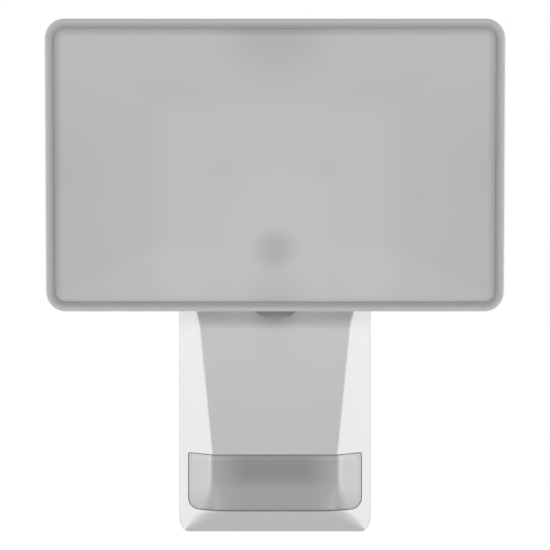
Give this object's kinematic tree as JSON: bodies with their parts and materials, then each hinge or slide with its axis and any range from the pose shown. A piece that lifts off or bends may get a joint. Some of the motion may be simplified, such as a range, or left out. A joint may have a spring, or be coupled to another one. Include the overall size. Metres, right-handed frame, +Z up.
{
  "type": "floodlight with motion sensor",
  "caption": "Wall floodlight: wide opal LED head on a ball knuckle, over a tapered base with a wrap-round motion sensor lens and setting dials.",
  "frame": {"origin": "centre of the wall bracket's back face, on the wall plane", "axes": "+Z up along the wall, +Y into the wall, +X to the right of someone facing the light; the lamp looks along -Y"},
  "size_m": [0.1896, 0.1184, 0.2199],
  "materials": {
    "white_plastic": "moulded, fine satin grain",
    "reflector_white": "high-gloss white",
    "opal_cover": "opal, satin front",
    "milky_lens": "milky, with fine moulded facets",
    "grey_rubber": "soft, matt",
    "black_plastic": "moulded",
    "circuit_board": "green solder mask",
    "led_board_white": "white solder mask",
    "terminal_white": "moulded",
    "winding_tape": "yellow tape over a dark core",
    "ferrite": "wound ring core",
    "lead_sheath": "smooth white sheath",
    "nylon": "natural glass-filled nylon",
    "cast_aluminium": "cast, painted light grey",
    "plain_aluminium": "mill finish",
    "zinc_steel": "zinc plated"
  },
  "bodies": {
    "base": {"base_housing": "white_plastic", "cable_grommet": "grey_rubber", "capacitor": "black_plastic", "choke": "ferrite", "dial_board": "circuit_board", "driver_board": "circuit_board", "housing_screw_left": "zinc_steel", "housing_screw_right": "zinc_steel", "lead_in_base": "lead_sheath", "lens_seal": "grey_rubber", "light_pot": "black_plastic", "light_sensor": "black_plastic", "motion_sensor": "zinc_steel", "neck_arm": "cast_aluminium", "neck_screw_1": "zinc_steel", "neck_screw_2": "zinc_steel", "neck_seal": "grey_rubber", "range_pot": "black_plastic", "rear_cover": "white_plastic", "rear_cover_screw_1": "zinc_steel", "rear_cover_screw_2": "zinc_steel", "rear_cover_screw_3": "zinc_steel", "rear_cover_screw_4": "zinc_steel", "rear_seal": "grey_rubber", "relay": "black_plastic", "sensor_board": "circuit_board", "sensor_lens": "milky_lens", "supply_lead": "lead_sheath", "terminal_block": "terminal_white", "time_pot": "black_plastic", "transformer": "winding_tape", "wall_bracket": "nylon"},
    "knuckle": {"knuckle_ball": "white_plastic", "tilt_screw": "zinc_steel", "tilt_nut": "zinc_steel", "friction_washer_left": "nylon", "friction_washer_right": "nylon"},
    "head": {"cover_screw_1": "zinc_steel", "cover_screw_2": "zinc_steel", "cover_screw_3": "zinc_steel", "cover_screw_4": "zinc_steel", "cover_seal": "grey_rubber", "front_cover": "opal_cover", "head_gland": "grey_rubber", "head_housing": "white_plastic", "head_yoke": "cast_aluminium", "heat_spreader": "plain_aluminium", "lead_in_head": "lead_sheath", "led_board": "led_board_white", "pan_pin_lower": "zinc_steel", "pan_pin_upper": "zinc_steel", "reflector": "reflector_white", "reflector_screw_1": "zinc_steel", "reflector_screw_2": "zinc_steel", "vent_plug": "grey_rubber", "yoke_screw_1": "zinc_steel", "yoke_screw_2": "zinc_steel"},
    "time_knob": {"time_dial": "white_plastic"},
    "light_knob": {"light_dial": "white_plastic"},
    "range_knob": {"range_dial": "white_plastic"}
  },
  "joints": [
    {"name": "head_tilt", "type": "hinge", "parent": "base", "child": "knuckle", "pos_m": [0, -0.068, 0.0565], "axis": [1, 0, 0], "range_deg": [-20, 50]},
    {"name": "head_pan", "type": "hinge", "parent": "knuckle", "child": "head", "pos_m": [0, -0.068, 0.0565], "axis": [0, -0.0593, 0.9982], "range_deg": [-35, 35]},
    {"name": "time_turn", "type": "hinge", "parent": "base", "child": "time_knob", "pos_m": [-0.017, -0.03, -0.0526], "axis": [0, 0, -1], "range_deg": [-135, 135]},
    {"name": "light_turn", "type": "hinge", "parent": "base", "child": "light_knob", "pos_m": [0, -0.03, -0.0526], "axis": [0, 0, -1], "range_deg": [-135, 135]},
    {"name": "range_turn", "type": "hinge", "parent": "base", "child": "range_knob", "pos_m": [0.017, -0.03, -0.0526], "axis": [0, 0, -1], "range_deg": [-135, 135]}
  ]
}
